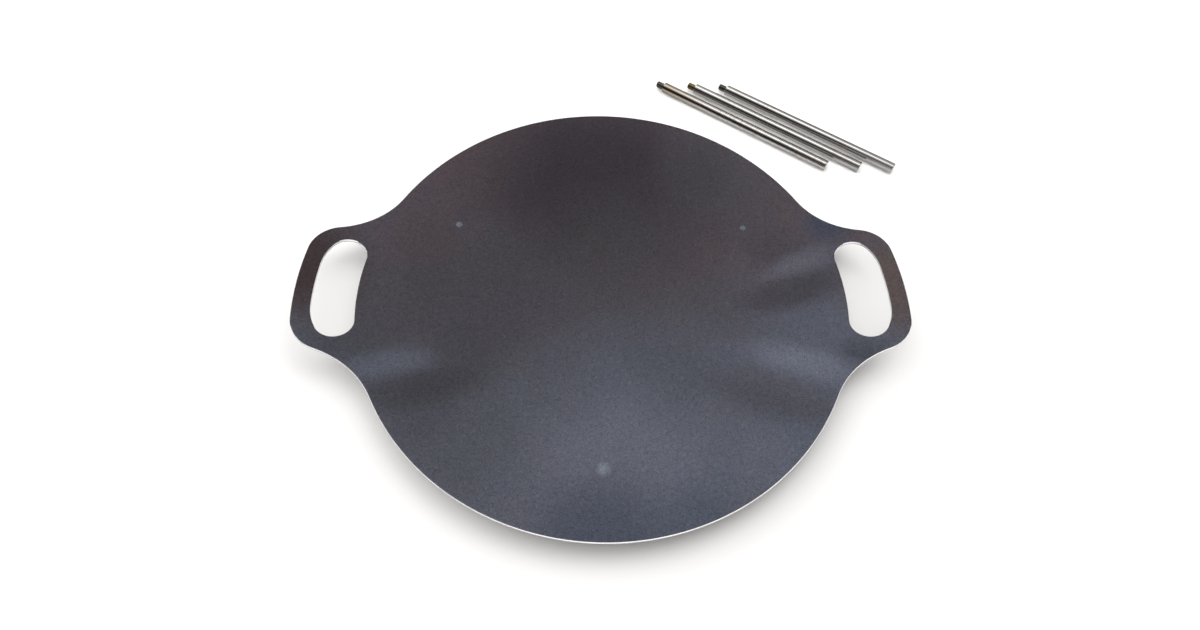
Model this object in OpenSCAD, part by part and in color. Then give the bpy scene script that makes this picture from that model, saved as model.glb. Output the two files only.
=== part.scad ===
// Camp griddle plate: a shallow steel dish with two loop handles, cut and pressed from one sheet,
// with three nuts welded underneath and three screw-in legs that lie loose beside it.
// The origin is on the ground under the middle of the dish. X runs through the handles, Y points away
// from the person who cooks and Z is up.

/* [Plate] */
// Diameter of the dish at its rim
plate_d = 480; // [450:5:560]
// Thickness of the steel sheet
sheet_t = 3; // [2:0.5:4]
// Depth of the dish, from the rim down to the middle
dish_depth = 25; // [24:1:34]
// Diameter of the flat under the belly that the plate rests on
belly_flat_d = 60; // [30:2:64]

/* [Handles] */
// How far each handle reaches past the rim, seen from above
handle_reach = 55; // [50:1:70]
// Distance between the centres of a handle's two outer corners
handle_corner_gap = 71; // [60:1:90]
// Radius of a handle's outer corners
handle_corner_r = 35; // [25:1:42]
// Radius of the hollow curve where a handle runs into the rim
handle_neck_r = 92; // [70:1:120]

/* [Hand holes] */
// Width of the grip outside each hand hole
grip_w = 16; // [13:0.5:22]
// Width of each hand hole, between the rim side and the grip
hand_hole_w = 38.5; // [36:0.5:46]
// Distance between the centres of a hand hole's two corners on the grip side
hole_corner_gap = 38.5; // [26:0.5:46]
// Radius of a hand hole's corners on the grip side
hole_outer_r = 50; // [30:1:60]
// Radius of a hand hole's corners on the rim side
hole_inner_r = 17.5; // [10:0.5:19]

/* [Leg nuts] */
// Distance from the rim in to the middle of a nut, seen from above
nut_inset = 64; // [50:1:68]
// Width of a nut across its flats
nut_flats_w = 13; // [12.5:0.5:16]
// Depth of a nut's hole beyond the end of a stud that is screwed home
stud_room = 1; // [0.5:0.25:1.5]
// Depth of the bevel round the end of a nut
nut_bevel = 1; // [0.5:0.1:1.6]
// Width of the countersink at the mouth of a nut
nut_countersink = 0.4; // [0.2:0.1:0.8]
// Leg length of the weld bead round a nut
weld_size = 3; // [2:0.5:4.5]

/* [Legs] */
// Diameter of a leg
leg_d = 12; // [11:0.5:16]
// Length of a leg from its foot to its shoulder
leg_len = 224; // [150:1:300]
// Bevel at the foot and at the shoulder of a leg
leg_bevel = 0.5; // [0.2:0.1:1.5]
// Outer diameter of the thread on a leg's stud
stud_d = 8; // [7:0.25:8.5]
// Length of a leg's stud
stud_len = 10; // [7:0.5:10.5]
// Bevel at the tip of a stud
stud_bevel = 0.8; // [0.4:0.1:1.2]
// Gap all round between a stud and the hole in a nut
thread_gap = 0.1; // [0.05:0.05:0.2]

/* [Loose legs on the ground] */
// Direction from the middle of the plate to the row of legs, turned from X
row_bearing = 54.5; // [48:0.5:70]
// Gap between the rim and the nearest leg, seen from above
row_gap = 58.5; // [20:0.5:120]
// Gap between neighbouring legs
leg_gap = 9.5; // [4:0.5:30]
// How far the nearest leg lies from the middle of the row's direction, towards its stud
near_shift = 4; // [-20:1:20]
// How much further each next leg lies towards its foot
next_shift = 33; // [0:1:45]

/* [Hidden] */
// Steps in a full circle, and in the much larger circles of the dish
$fn = 96;
ball_fn = 8 * $fn;
// Greatest distance between a round outline and its drawn edge
arc_tolerance = 0.03;
// Depth by which joined outlines and cutting tools reach into each other
overlap = 0.05;
// Extra reach of a tool past the faces that it cuts
cut_past = 5;

// The two faces of the dish are parts of balls with one middle
rim_r = plate_d / 2;
top_ball_r = (rim_r * rim_r + dish_depth * dish_depth) / (2 * dish_depth);
under_ball_r = top_ball_r + sheet_t;
ball_z = sqrt(pow(under_ball_r, 2) - pow(belly_flat_d / 2, 2));

// A handle's outer edge is an arc round the middle of the plate
handle_tip_r = rim_r + handle_reach;
corner_centre_r = handle_tip_r - handle_corner_r;
corner_turn = asin(handle_corner_gap / 2 / corner_centre_r);
neck_centre_r = rim_r + handle_neck_r;
neck_turn = corner_turn + triangle_angle(neck_centre_r, corner_centre_r, handle_neck_r + handle_corner_r);

// A hand hole's long edges are arcs round the middle of the plate too
hole_tip_r = handle_tip_r - grip_w;
hole_rim_r = hole_tip_r - hand_hole_w;
outer_centre_r = hole_tip_r - hole_outer_r;
outer_turn = asin(hole_corner_gap / 2 / outer_centre_r);
inner_centre_r = hole_rim_r + hole_inner_r;
inner_turn = outer_turn + triangle_angle(outer_centre_r, inner_centre_r, hole_outer_r - hole_inner_r);

// The nuts stand square to the sheet, so the legs spread outwards. Each has a direction, turned from X
front_turn = 270;
left_turn = 150;
right_turn = 30;
nut_tilt = asin((rim_r - nut_inset) / under_ball_r);
nut_h = stud_len + stud_room;
nut_hole_r = stud_d / 2 + thread_gap;
nut_corner_r = nut_flats_w / 2 / cos(30);

blank_top = ball_z - sqrt(pow(top_ball_r, 2) - pow(handle_tip_r, 2)) + cut_past;
near_row_r = rim_r + row_gap + leg_d / 2;

sheet_colour = "#4b484d";
nut_colour = "#6f6c68";
weld_colour = "#55504d";
leg_colour = "#c9cacb";

// Angle between two sides of a triangle whose third side lies across from it
function triangle_angle(side_a, side_b, across) =
    acos((side_a * side_a + side_b * side_b - across * across) / (2 * side_a * side_b));

// The point at a distance and a direction from the middle
function polar(r, turn) = [r * cos(turn), r * sin(turn)];

// The direction from one point to another
function bearing(from, to) = atan2(to[1] - from[1], to[0] - from[0]);

// Points along an arc, both ends included
function arc(centre, r, from, to) =
    let (
        step = 2 * acos(1 - arc_tolerance / r),
        steps = ceil(abs(to - from) / step)
    )
    [for (i = [0:steps]) centre + polar(r, from + (to - from) * i / steps)];

// A list without its first and its last few entries
function inner(list, first, last) = [for (i = [first:len(list) - 1 - last]) list[i]];

// An outline's upper half, which starts on X, and the same points mirrored below X
function both_halves(upper) =
    concat(upper, [for (i = [len(upper) - 1:-1:0]) if (upper[i][1] > 0) [upper[i][0], -upper[i][1]]]);

// Half of a handle's outline, from the middle of its outer edge to a place inside the rim
function handle_half() =
    let (
        corner = polar(corner_centre_r, corner_turn),
        neck = polar(neck_centre_r, neck_turn),
        meet = bearing(corner, neck)
    )
    concat(
        arc([0, 0], handle_tip_r, 0, corner_turn),
        inner(arc(corner, handle_corner_r, corner_turn, meet), 1, 0),
        inner(arc(neck, handle_neck_r, meet - 180, neck_turn - 180), 1, 1),
        [polar(rim_r - overlap, neck_turn), polar(rim_r / 2, neck_turn)]
    );

// Half of a hand hole's outline, from the middle of the grip round to the middle of the rim side
function hole_half() =
    let (
        outer = polar(outer_centre_r, outer_turn),
        inner_corner = polar(inner_centre_r, inner_turn),
        meet = bearing(outer, inner_corner)
    )
    concat(
        arc([0, 0], hole_tip_r, 0, outer_turn),
        inner(arc(outer, hole_outer_r, outer_turn, meet), 1, 0),
        inner(arc(inner_corner, hole_inner_r, meet, inner_turn + 180), 1, 0),
        inner(arc([0, 0], hole_rim_r, inner_turn, 0), 1, 0)
    );

// Draws the children on both handles' sides
module each_side() {
    children();
    rotate(180) children();
}

// The flat outline of the plate, seen from above
module plate_outline() {
    difference() {
        union() {
            circle(rim_r);
            each_side() polygon(both_halves(handle_half()));
        }
        each_side() polygon(both_halves(hole_half()));
    }
}

// Everything inside a ball round the middle of the dish, up to the top of the blank
module dish_ball(r) {
    rotate_extrude() intersection() {
        translate([0, ball_z]) circle(r, $fn = ball_fn);
        translate([0, -cut_past]) square([handle_tip_r + cut_past, blank_top + 2 * cut_past]);
    }
}

// Moves the children under the sheet at a nut's place, with Z pointing out of the nut's mouth
module at_nut(turn) {
    rotate([0, 0, turn]) translate([0, 0, ball_z]) rotate([0, 180 - nut_tilt, 0])
        translate([0, 0, under_ball_r]) children();
}

// The hexagonal bar that a nut is cut from, seated on the sheet or reaching below its seat
module hexagon(below = 0) {
    translate([0, 0, -below]) cylinder(r = nut_corner_r, h = nut_h + below, $fn = 6);
}

// The turned shape that a nut's bevelled end is cut to
module nut_envelope() {
    rotate_extrude() polygon([
        [0, -cut_past],
        [nut_corner_r + cut_past, -cut_past],
        [nut_corner_r + cut_past, nut_h - (nut_bevel + cut_past) * tan(30)],
        [nut_corner_r - nut_bevel, nut_h],
        [0, nut_h]
    ]);
}

// The hole through a nut, with a countersunk mouth
module nut_hole() {
    mouth_r = nut_hole_r + nut_countersink;
    rotate_extrude() polygon([
        [0, -cut_past],
        [nut_hole_r, -cut_past],
        [nut_hole_r, nut_h - nut_countersink],
        [mouth_r, nut_h],
        [mouth_r, nut_h + cut_past],
        [0, nut_h + cut_past]
    ]);
}

// A hexagon nut with its inner end on the sheet
module leg_nut(turn) {
    at_nut(turn) difference() {
        intersection() {
            hexagon();
            nut_envelope();
        }
        nut_hole();
    }
}

// A bead of weld metal between a nut's sides and the sheet, sloping at 45 degrees
module nut_weld(turn) {
    bead_r = nut_corner_r + weld_size;
    bead_top_r = nut_flats_w / 2 - overlap;
    at_nut(turn) difference() {
        cylinder(r1 = bead_r, r2 = bead_top_r, h = bead_r - bead_top_r);
        hexagon(cut_past);
    }
}

// A leg on end, standing on its foot with its stud on top
module leg() {
    leg_r = leg_d / 2;
    stud_r = stud_d / 2;
    tip_z = leg_len + stud_len;
    rotate_extrude() polygon([
        [0, 0],
        [leg_r - leg_bevel, 0],
        [leg_r, leg_bevel],
        [leg_r, leg_len - leg_bevel],
        [leg_r - leg_bevel, leg_len],
        [stud_r, leg_len],
        [stud_r, tip_z - stud_bevel],
        [stud_r - stud_bevel, tip_z],
        [0, tip_z]
    ]);
}

// A leg lying on the ground as one of the row, counted from the plate outwards
module lying_leg(place) {
    rotate([0, 0, row_bearing])
        translate([
            near_row_r + place * (leg_d + leg_gap),
            near_shift - leg_len / 2 - place * next_shift,
            leg_d / 2
        ])
        rotate([-90, 0, 0]) leg();
}

module griddle_plate() {
    color(sheet_colour) intersection() {
        linear_extrude(blank_top) plate_outline();
        difference() {
            dish_ball(under_ball_r);
            dish_ball(top_ball_r);
        }
    }
}

module front_leg_nut() {
    color(nut_colour) leg_nut(front_turn);
}

module left_leg_nut() {
    color(nut_colour) leg_nut(left_turn);
}

module right_leg_nut() {
    color(nut_colour) leg_nut(right_turn);
}

module front_nut_weld() {
    color(weld_colour) nut_weld(front_turn);
}

module left_nut_weld() {
    color(weld_colour) nut_weld(left_turn);
}

module right_nut_weld() {
    color(weld_colour) nut_weld(right_turn);
}

module near_leg() {
    color(leg_colour) lying_leg(0);
}

module middle_leg() {
    color(leg_colour) lying_leg(1);
}

module far_leg() {
    color(leg_colour) lying_leg(2);
}

griddle_plate();
front_leg_nut();
left_leg_nut();
right_leg_nut();
front_nut_weld();
left_nut_weld();
right_nut_weld();
near_leg();
middle_leg();
far_leg();
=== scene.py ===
"""Looks of a camp griddle plate: a dark steel dish with loop handles, its leg nuts and three loose legs."""

import logging
import math
from dataclasses import dataclass
from enum import Enum

import bmesh
import bpy
from mathutils import Matrix, Vector

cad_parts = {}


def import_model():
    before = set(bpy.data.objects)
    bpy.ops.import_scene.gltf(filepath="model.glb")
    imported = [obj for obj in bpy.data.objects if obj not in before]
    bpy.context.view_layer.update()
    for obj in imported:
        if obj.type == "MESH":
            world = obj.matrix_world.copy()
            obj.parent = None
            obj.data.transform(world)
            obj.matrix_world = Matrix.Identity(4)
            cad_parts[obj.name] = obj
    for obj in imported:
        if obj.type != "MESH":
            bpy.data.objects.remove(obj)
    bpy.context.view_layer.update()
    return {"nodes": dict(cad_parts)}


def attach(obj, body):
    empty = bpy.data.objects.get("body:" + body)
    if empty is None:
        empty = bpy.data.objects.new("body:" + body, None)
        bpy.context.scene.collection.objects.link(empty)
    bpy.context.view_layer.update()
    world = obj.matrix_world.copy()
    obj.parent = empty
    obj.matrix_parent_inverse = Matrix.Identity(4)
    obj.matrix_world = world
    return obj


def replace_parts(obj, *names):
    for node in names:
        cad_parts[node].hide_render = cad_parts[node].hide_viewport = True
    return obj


LOG = logging.getLogger("griddle")

Colour = tuple[float, float, float]
Point = tuple[float, float, float]
Pair = tuple[float, float]
Socket = bpy.types.NodeSocket
Sockets = bpy.types.bpy_prop_collection
Node = bpy.types.Node
Tree = bpy.types.NodeTree
Feed = Socket | float | tuple
Inputs = dict[str | int, Feed]
Material = bpy.types.Material
Piece = bpy.types.Object
Mesh = bmesh.types.BMesh
Vert = bmesh.types.BMVert
Edge = bmesh.types.BMEdge
Face = bmesh.types.BMFace

# The kinds of socket that the shared effects have.
VALUE = "NodeSocketFloat"
VECTOR = "NodeSocketVector"

# Distances in metres under which two points count as one.
CLOSE = 1e-6
VERY_CLOSE = 1e-7


class NutPlace(Enum):
    """Where a leg nut is welded on, as a direction in degrees turned from X."""

    FRONT = 270.0
    LEFT = 150.0
    RIGHT = 30.0


class LegPlace(Enum):
    """A loose leg's place in its row, counted from the plate outwards."""

    NEAR = 0
    MIDDLE = 1
    FAR = 2


class BarWear(Enum):
    """How stained a leg's bar is, how strongly its feed lines show and where along the row it turns brown."""

    WORN = (0.8, 0.3, 0.03)
    CLEAN = (0.3, 0.05, 1.0)


class SheetSkin(Enum):
    """The material index of each kind of face on the plate."""

    TOP = 0
    UNDER = 1
    CUT_EDGE = 2


class LegSkin(Enum):
    """The material index of each kind of face on a leg."""

    BAR = 0
    STUD = 1


class NodeBench:
    """Adds, sets and links the nodes of one shader tree."""

    def __init__(self, tree: Tree) -> None:
        """Keeps the tree of a material, world or group that the nodes go into."""
        self.tree = tree

    def feed(self, socket: Socket, value: Feed) -> None:
        """Links an input to another node's output, or sets it.

        Args:
            socket: The input.
            value: An output socket, a number, or a colour or vector.
        """
        if isinstance(value, Socket):
            self.tree.links.new(value, socket)
        elif socket.type == "RGBA" and len(value) == 3:
            socket.default_value = (*value, 1.0)
        else:
            socket.default_value = value

    def add(self, kind: str, inputs: Inputs | None = None, **settings: object) -> Node:
        """Adds a node.

        Args:
            kind: The node's type name.
            inputs: What its inputs are set or linked to, by name or number.
            settings: Its other properties.

        Returns:
            The new node.
        """
        node = self.tree.nodes.new(kind)
        for name, value in settings.items():
            setattr(node, name, value)
        for key, value in (inputs or {}).items():
            self.feed(node.inputs[key], value)
        return node

    def place(self) -> Socket:
        """Returns the surface's place in the object's own frame, in metres."""
        return self.add("ShaderNodeTexCoord").outputs["Object"]

    def axes(self, vector: Feed) -> Sockets:
        """Returns a vector's X, Y and Z."""
        return self.add("ShaderNodeSeparateXYZ", {0: vector}).outputs

    def math(self, operation: str, first: Feed, second: Feed = 0.0) -> Socket:
        """Works a value out from one or two others."""
        return self.add("ShaderNodeMath", {0: first, 1: second}, operation=operation).outputs[0]

    def scaled(self, value: Feed, factor: Feed, base: Feed) -> Socket:
        """Multiplies a value and adds the result to a base."""
        return self.math("ADD", base, self.math("MULTIPLY", value, factor))

    def varied(self, base: Feed, pattern: Feed, reach: Feed) -> Socket:
        """Lets a pattern around a half vary a base."""
        return self.scaled(self.math("SUBTRACT", pattern, 0.5), reach, base)

    def vector_math(self, operation: str, first: Feed, second: Feed) -> Node:
        """Adds a vector operation and returns its node."""
        return self.add("ShaderNodeVectorMath", {0: first, 1: second}, operation=operation)

    def span(self, value: Feed, low: float, high: float, to_low: Feed = 0.0, to_high: Feed = 1.0) -> Socket:
        """Maps a value softly, so that low gives to_low and high gives to_high."""
        inputs = {0: value, 1: low, 2: high, 3: to_low, 4: to_high}
        return self.add("ShaderNodeMapRange", inputs, interpolation_type="SMOOTHSTEP").outputs[0]

    def mix(self, factor: Feed, first: Feed, second: Feed, blend: str = "MIX") -> Socket:
        """Mixes two colours, with the factor as the share of the second."""
        inputs = {0: factor, 6: first, 7: second}
        return self.add("ShaderNodeMix", inputs, data_type="RGBA", blend_type=blend).outputs[2]

    def shaded(self, colour: Feed, shade: Feed) -> Socket:
        """Multiplies a colour by a value or another colour."""
        return self.mix(1.0, colour, shade, "MULTIPLY")

    def noise(self, vector: Feed, per_metre: Feed, detail: float = 2.0, roughness: float = 0.5) -> Socket:
        """Adds a noise pattern around a half, with finer layers as detail and roughness say."""
        inputs = {"Vector": vector, "Scale": per_metre, "Detail": detail, "Roughness": roughness}
        return self.add("ShaderNodeTexNoise", inputs).outputs[0]

    def group(self, tree: Tree, **inputs: Feed) -> Sockets:
        """Places a shared effect in this tree, with its inputs by name, and returns its outputs."""
        named = {key.replace("_", " ").title(): value for key, value in inputs.items()}
        return self.add("ShaderNodeGroup", named, node_tree=tree).outputs

    def bump(self, height: Feed, distance: float) -> Socket:
        """Turns a height pattern that reaches a distance in metres into a normal."""
        return self.add("ShaderNodeBump", {"Height": height, "Distance": distance}).outputs[0]


def new_group(
    name: str, inputs: dict[str, str], outputs: tuple[str, ...]
) -> tuple[NodeBench, Sockets, Sockets]:
    """Starts a shared effect.

    Args:
        name: The group's name.
        inputs: The kinds of its inputs, by name.
        outputs: The names of the values that it puts out.

    Returns:
        The group's bench, the sockets that its inputs come from and those that its outputs go to.
    """
    tree = bpy.data.node_groups.new(name, "ShaderNodeTree")
    for label, kind in inputs.items():
        tree.interface.new_socket(label, in_out="INPUT", socket_type=kind)
    for label in outputs:
        tree.interface.new_socket(label, in_out="OUTPUT", socket_type=VALUE)
    bench = NodeBench(tree)
    return bench, bench.add("NodeGroupInput").outputs, bench.add("NodeGroupOutput").inputs


@dataclass
class SharedEffects:
    """The surface effects that more than one finish uses, each a node group that is built once."""

    fine_layers: Pair = (3.0, 0.65)
    fine_share: float = 0.85
    coarse_scale: float = 0.27
    cloud_layers: Pair = (3.0, 0.55)
    cloud_span: Pair = (0.32, 0.68)
    spot_wobbles: float = 1.6
    spot_wobble: float = 0.5
    core_span: Pair = (1.1, 0.7)
    halo_span: Pair = (2.6, 0.6)
    line_stretch: Point = (0.02, 1.0, 0.02)
    line_layers: Pair = (4.0, 0.7)

    def __post_init__(self) -> None:
        """Builds every group."""
        self.grain = self.build_grain()
        self.patches = self.build_patches()
        self.spot = self.build_spot()
        self.tool_lines = self.build_tool_lines()

    def build_grain(self) -> Tree:
        """Builds the fine grain of rolled steel.

        Returns:
            A group that gives a speckle around 1 and the height of wider, shallow dents between 0 and 1.
        """
        bench, entry, end = new_group(
            "fine_grain", {"Place": VECTOR, "Per Metre": VALUE, "Contrast": VALUE}, ("Speckle", "Height")
        )
        fine = bench.noise(entry["Place"], entry["Per Metre"], *self.fine_layers)
        coarse = bench.noise(entry["Place"], bench.math("MULTIPLY", entry["Per Metre"], self.coarse_scale))
        both = bench.scaled(coarse, 1.0 - self.fine_share, bench.math("MULTIPLY", fine, self.fine_share))
        lift = bench.math("MULTIPLY", bench.math("SUBTRACT", both, 0.5), entry["Contrast"])
        bench.feed(end["Speckle"], bench.math("EXPONENT", lift))
        bench.feed(end["Height"], coarse)
        return bench.tree

    def build_patches(self) -> Tree:
        """Builds large soft patches, as rolling and handling leave them.

        Returns:
            A group that gives an amount between 0 and 1.
        """
        bench, entry, end = new_group("soft_patches", {"Place": VECTOR, "Per Metre": VALUE}, ("Amount",))
        cloud = bench.noise(entry["Place"], entry["Per Metre"], *self.cloud_layers)
        bench.feed(end["Amount"], bench.span(cloud, *self.cloud_span))
        return bench.tree

    def build_spot(self) -> Tree:
        """Builds a round or stretched spot on the sheet, seen from above, which lays heat tints and painted
        highlight and shade.

        Returns:
            A group that gives the spot's own mask and that of the halo round it.
        """
        kinds = {"Place": VECTOR, "Centre": VECTOR, "Radius": VALUE, "Bearing": VALUE, "Stretch": VALUE}
        bench, entry, end = new_group("heat_and_light_spot", kinds, ("Core", "Halo"))
        offset = bench.vector_math("SUBTRACT", entry["Place"], entry["Centre"]).outputs[0]
        turn = {"Vector": offset, "Angle": bench.math("MULTIPLY", entry["Bearing"], -1.0)}
        axes = bench.axes(bench.add("ShaderNodeVectorRotate", turn, rotation_type="Z_AXIS").outputs[0])
        along = bench.math("POWER", bench.math("DIVIDE", axes["X"], entry["Stretch"]), 2.0)
        across = bench.math("POWER", axes["Y"], 2.0)
        length = bench.math("SQRT", bench.math("ADD", along, across))
        share = bench.math("DIVIDE", length, entry["Radius"])
        wobble = bench.noise(entry["Place"], bench.math("DIVIDE", self.spot_wobbles, entry["Radius"]))
        share = bench.varied(share, wobble, self.spot_wobble)
        bench.feed(end["Core"], bench.span(share, *self.core_span))
        bench.feed(end["Halo"], bench.span(share, *self.halo_span))
        return bench.tree

    def build_tool_lines(self) -> Tree:
        """Builds the fine lines that a cutting tool leaves across Y.

        Returns:
            A group that gives a value around a half.
        """
        bench, entry, end = new_group("tool_lines", {"Place": VECTOR, "Per Metre": VALUE}, ("Lines",))
        drawn = bench.vector_math("MULTIPLY", entry["Place"], self.line_stretch).outputs[0]
        bench.feed(end["Lines"], bench.noise(drawn, entry["Per Metre"], *self.line_layers))
        return bench.tree


def new_material(name: str, metallic: float) -> tuple[Material, NodeBench, Sockets]:
    """Starts a material with a Principled shader.

    Args:
        name: The material's name.
        metallic: The shader's constant metallic value.

    Returns:
        The material, its bench and its shader's inputs.
    """
    material = bpy.data.materials.new(name)
    material.use_nodes = True
    inputs = material.node_tree.nodes["Principled BSDF"].inputs
    inputs["Metallic"].default_value = metallic
    return material, NodeBench(material.node_tree), inputs


@dataclass(frozen=True)
class Finish:
    """A finish, whose material is built the first time it is asked for and shared after that."""

    name: str

    def material(self, effects: SharedEffects) -> Material:
        """Returns the finish's material."""
        return bpy.data.materials.get(self.name) or self.build(effects)

    def build(self, effects: SharedEffects) -> Material:
        """Builds the material, which each kind of finish does in its own way."""
        raise NotImplementedError(self.name)


@dataclass(frozen=True)
class TintSpot:
    """A spot of colour on the top of the plate: some are heat tints, some painted highlights and some painted
    shade.
    """

    x: float
    y: float
    radius: float
    colour: Colour
    strength: float
    bearing: float = 0.0
    stretch: float = 1.0

    def lay(
        self, bench: NodeBench, effects: SharedEffects, place: Socket, under: Socket, mask: str
    ) -> Socket:
        """Lays the tint over a colour.

        Args:
            bench: The material's bench.
            effects: The shared effects.
            place: The surface's place.
            under: The colour that it lies on.
            mask: Which of the spot's masks is used.

        Returns:
            The tinted colour's socket.
        """
        masks = bench.group(
            effects.spot, place=place, centre=(self.x, self.y, 0.0), radius=self.radius,
            bearing=math.radians(self.bearing), stretch=self.stretch,
        )
        return bench.mix(bench.math("MULTIPLY", masks[mask], self.strength), under, self.colour)


@dataclass(frozen=True)
class SheetFinish(Finish):
    """The dark skin of rolled steel: brown-purple towards the back and the grips, blue-grey in front, partly
    heat tint and partly painted shade at the back and painted highlight in front.
    """

    brown_and_shade: Colour = (0.0525, 0.042, 0.0485)
    blue_and_highlight: Colour = (0.068, 0.075, 0.0955)
    shade_to_highlight_y: Pair = (0.14, -0.18)
    warm: Colour = (1.08, 0.97, 0.95)
    cool: Colour = (0.93, 1.0, 1.05)
    broad_per_metre: float = 7.0
    close_per_metre: float = 45.0
    broad_share: float = 0.6
    roughness: float = 0.24
    dent_roughness: float = 0.08
    metallic: float = 0.85
    grain_per_metre: float = 1000.0
    grain_contrast: float = 2.9
    grain_height: float = 0.00001
    ring_scale: float = 1.2
    ring_colour: Colour = (0.040, 0.042, 0.050)
    ring_strength: float = 0.12
    tints_and_painted_light: tuple[TintSpot, ...] = ()
    marks: tuple[TintSpot, ...] = ()

    def build(self, effects: SharedEffects) -> Material:
        """Builds the finish.

        Args:
            effects: The shared effects.

        Returns:
            The material.
        """
        material, bench, shader = new_material(self.name, self.metallic)
        place = bench.place()
        grain = bench.group(
            effects.grain, place=place, per_metre=self.grain_per_metre, contrast=self.grain_contrast
        )
        broad = bench.group(effects.patches, place=place, per_metre=self.broad_per_metre)["Amount"]
        close = bench.group(effects.patches, place=place, per_metre=self.close_per_metre)["Amount"]
        # From back to front the colour runs from brown to blue: partly heat tint, partly painted shade at the
        # back and painted highlight in front.
        colour = bench.mix(bench.span(bench.axes(place)["Y"], *self.shade_to_highlight_y), self.brown_and_shade, self.blue_and_highlight)
        hue = bench.scaled(close, 1.0 - self.broad_share, bench.math("MULTIPLY", broad, self.broad_share))
        colour = bench.shaded(colour, bench.mix(hue, self.warm, self.cool))
        # The spots lay heat tints, painted highlights and painted shade over the colour.
        for spot in self.tints_and_painted_light:
            colour = spot.lay(bench, effects, place, colour, "Halo")
        for mark in self.marks:
            ring_r = mark.radius * self.ring_scale
            ring = TintSpot(mark.x, mark.y, ring_r, self.ring_colour, self.ring_strength)
            colour = ring.lay(bench, effects, place, colour, "Halo")
            colour = mark.lay(bench, effects, place, colour, "Core")
        bench.feed(shader["Base Color"], bench.shaded(colour, grain["Speckle"]))
        bench.feed(shader["Roughness"], bench.scaled(grain["Height"], self.dent_roughness, self.roughness))
        bench.feed(shader["Normal"], bench.bump(grain["Height"], self.grain_height))
        return material


@dataclass(frozen=True)
class CutEdgeFinish(Finish):
    """The cut edge of the sheet: bright with fine upright lines, and dark along its lower side, partly the
    torn zone of the cut and partly painted shade.
    """

    pale: Colour = (0.97, 0.955, 0.965)
    dull: Colour = (0.80, 0.77, 0.78)
    torn_and_shade: Colour = (0.14, 0.125, 0.13)
    metallic: float = 1.0
    depth_name: str = "sheet_depth"
    line_stretch: Point = (1.0, 1.0, 0.05)
    lines_per_metre: float = 2600.0
    line_layers: Pair = (2.0, 0.6)
    line_height: float = 0.00003
    patches_per_metre: float = 60.0
    dull_lines: Pair = (0.35, 0.65)
    dull_patches: Pair = (0.35, 0.85)
    ragged: float = 0.25
    torn_and_shade_depth: Pair = (0.58, 0.72)
    smooth_lines: Pair = (0.3, 0.7)
    roughness: Pair = (0.36, 0.50)
    torn_roughness: float = 0.55

    def build(self, effects: SharedEffects) -> Material:
        """Builds the finish.

        Args:
            effects: The shared effects.

        Returns:
            The material.
        """
        material, bench, shader = new_material(self.name, self.metallic)
        place = bench.place()
        upright = bench.vector_math("MULTIPLY", place, self.line_stretch).outputs[0]
        lines = bench.noise(upright, self.lines_per_metre, *self.line_layers)
        patch = bench.group(effects.patches, place=place, per_metre=self.patches_per_metre)["Amount"]
        dulled = bench.span(patch, 0.0, 1.0, *self.dull_patches)
        dulled = bench.math("MULTIPLY", bench.span(lines, *self.dull_lines), dulled)
        depth = bench.add("ShaderNodeAttribute", attribute_name=self.depth_name).outputs["Fac"]
        # The dark band along the lower side is partly the torn zone and partly painted shade.
        torn_and_shade = bench.span(bench.varied(depth, lines, self.ragged), *self.torn_and_shade_depth)
        colour = bench.mix(torn_and_shade, bench.mix(dulled, self.pale, self.dull), self.torn_and_shade)
        bench.feed(shader["Base Color"], colour)
        smooth = bench.span(lines, *self.smooth_lines, *self.roughness)
        bench.feed(shader["Roughness"], bench.span(torn_and_shade, 0.0, 1.0, smooth, self.torn_roughness))
        bench.feed(shader["Normal"], bench.bump(lines, self.line_height))
        return material


@dataclass(frozen=True)
class TurnedSteelFinish(Finish):
    """Turned steel, with fine lathe lines round it, a stain here and there and, if asked, a brown end."""

    row_bearing: float
    bright: Colour
    stain: Colour
    stained: float
    roughness: float
    feed_shade: float = 0.05
    brown_from: float = 1.0
    brown_reach: float = 0.08
    browned: float = 0.85
    feed_pitch: float = 0.0018
    metallic: float = 1.0
    lines_per_metre: float = 5200.0
    line_height: float = 0.000008
    line_span: Pair = (0.2, 0.8)
    line_shade: Pair = (0.82, 1.12)
    line_roughness: float = 0.12
    bands_per_metre: float = 160.0
    band_span: Pair = (0.38, 0.66)
    patches_per_metre: float = 38.0

    def build(self, effects: SharedEffects) -> Material:
        """Builds the finish.

        Args:
            effects: The shared effects.

        Returns:
            The material.
        """
        material, bench, shader = new_material(self.name, self.metallic)
        turn = {"Vector": bench.place(), "Rotation": (0.0, 0.0, -math.radians(self.row_bearing))}
        along = bench.add("ShaderNodeMapping", turn, vector_type="POINT").outputs[0]
        lines = bench.group(effects.tool_lines, place=along, per_metre=self.lines_per_metre)["Lines"]
        bands = bench.group(effects.tool_lines, place=along, per_metre=self.bands_per_metre)["Lines"]
        patch = bench.group(effects.patches, place=along, per_metre=self.patches_per_metre)["Amount"]
        shade = bench.math("MULTIPLY", bench.span(bands, *self.band_span), patch)
        distance = bench.axes(along)["Y"]
        brown_to = self.brown_from + self.brown_reach
        browned = bench.span(distance, self.brown_from, brown_to, 0.0, self.browned)
        shade = bench.math("MAXIMUM", bench.math("MULTIPLY", shade, self.stained), browned)
        colour = bench.mix(shade, self.bright, self.stain)
        colour = bench.shaded(colour, bench.span(lines, *self.line_span, *self.line_shade))
        feed = bench.math("SINE", bench.math("MULTIPLY", distance, math.tau / self.feed_pitch))
        feed = bench.math("MULTIPLY", bench.math("MULTIPLY", feed, patch), self.feed_shade)
        bench.feed(shader["Base Color"], bench.shaded(colour, bench.math("ADD", feed, 1.0)))
        bench.feed(shader["Roughness"], bench.varied(self.roughness, lines, self.line_roughness))
        bench.feed(shader["Normal"], bench.bump(bench.math("ADD", lines, feed), self.line_height))
        return material


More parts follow.
